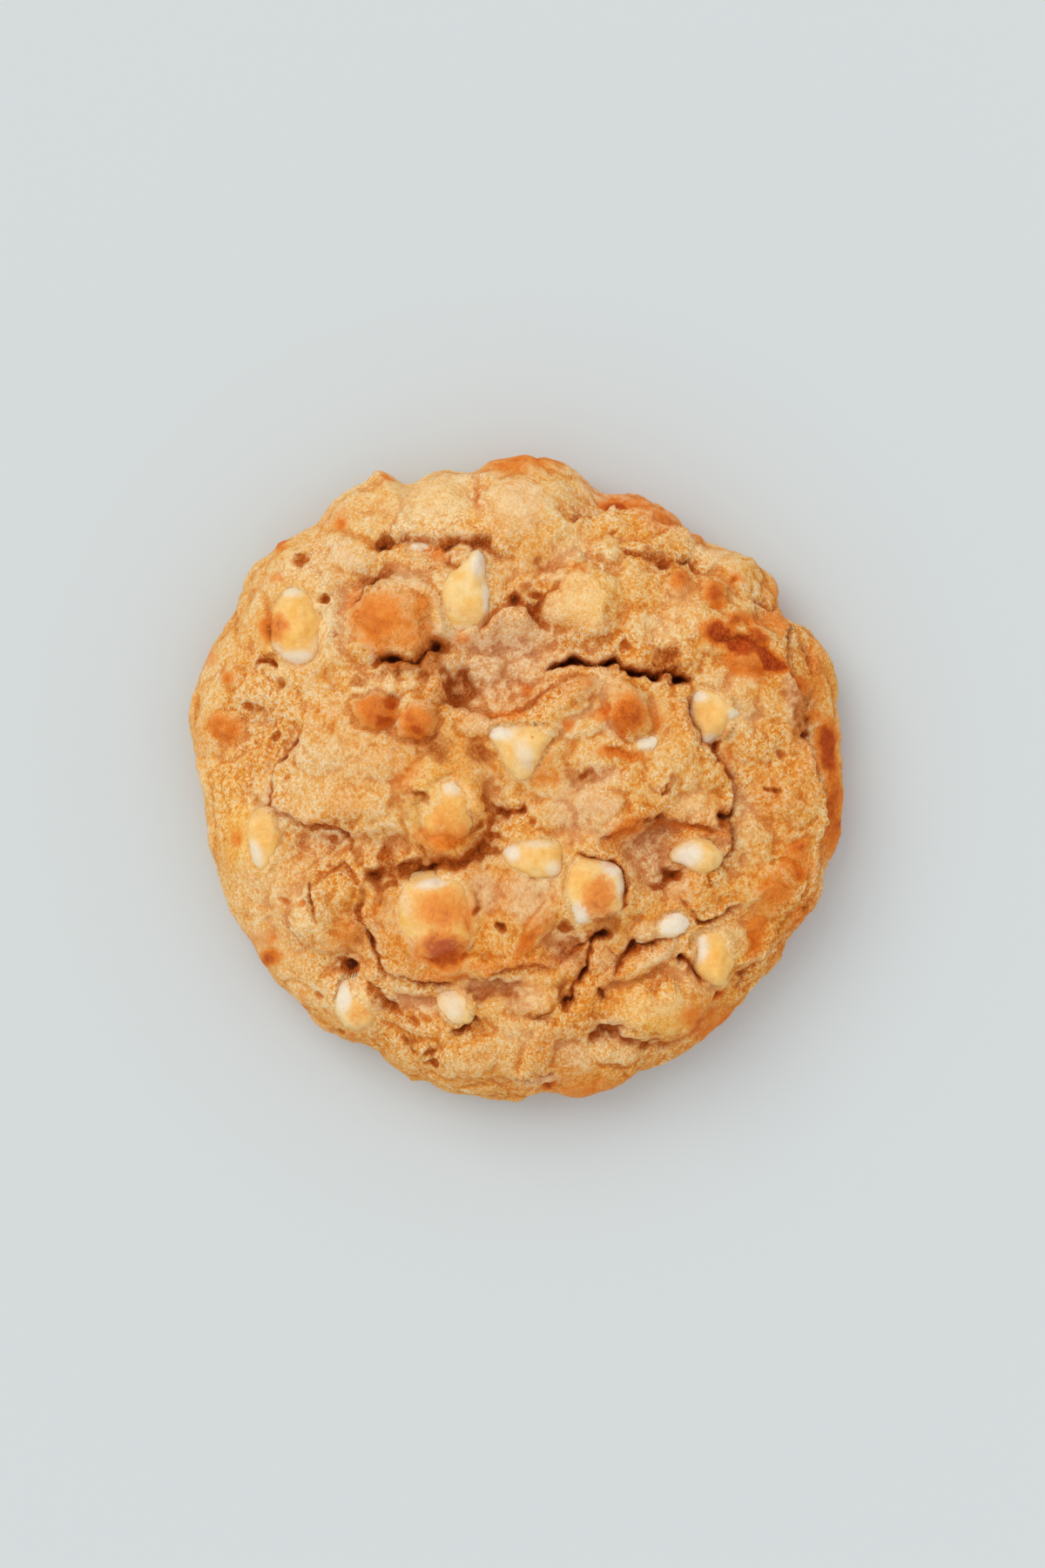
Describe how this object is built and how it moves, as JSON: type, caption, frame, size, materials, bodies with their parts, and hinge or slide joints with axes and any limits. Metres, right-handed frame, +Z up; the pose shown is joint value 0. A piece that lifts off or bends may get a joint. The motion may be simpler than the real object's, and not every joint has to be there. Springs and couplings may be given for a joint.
{
  "type": "pumpkin spice cookie",
  "caption": "Thick dropped pumpkin spice cookie with a cracked golden crust and white baking chips sunk in its top, resting flat.",
  "frame": {"origin": "centre of the bounding box at the level of the flat underside", "axes": "+Z up out of the domed top, +X to the right and +Y away from the viewer of the cookie seen from above"},
  "size_m": [0.0942, 0.0942, 0.0262],
  "materials": {
    "dough": "baked dough: matte, sandy, golden with browned ridges and dark cracks",
    "chip": "baked white chip: waxy, cream white, toasted yellow on top"
  },
  "bodies": {
    "root": {"dough": "dough", "chip_northwest": "chip", "chip_north": "chip", "chip_middle": "chip", "chip_middle_left": "chip", "chip_middle_low": "chip", "chip_south_middle": "chip", "chip_southwest": "chip", "chip_hollow": "chip", "chip_east": "chip", "chip_southeast": "chip", "chip_southeast_edge": "chip", "chip_south": "chip", "chip_southwest_edge": "chip", "chip_west_edge": "chip", "chip_sliver": "chip", "chip_far_sliver": "chip"}
  },
  "joints": []
}
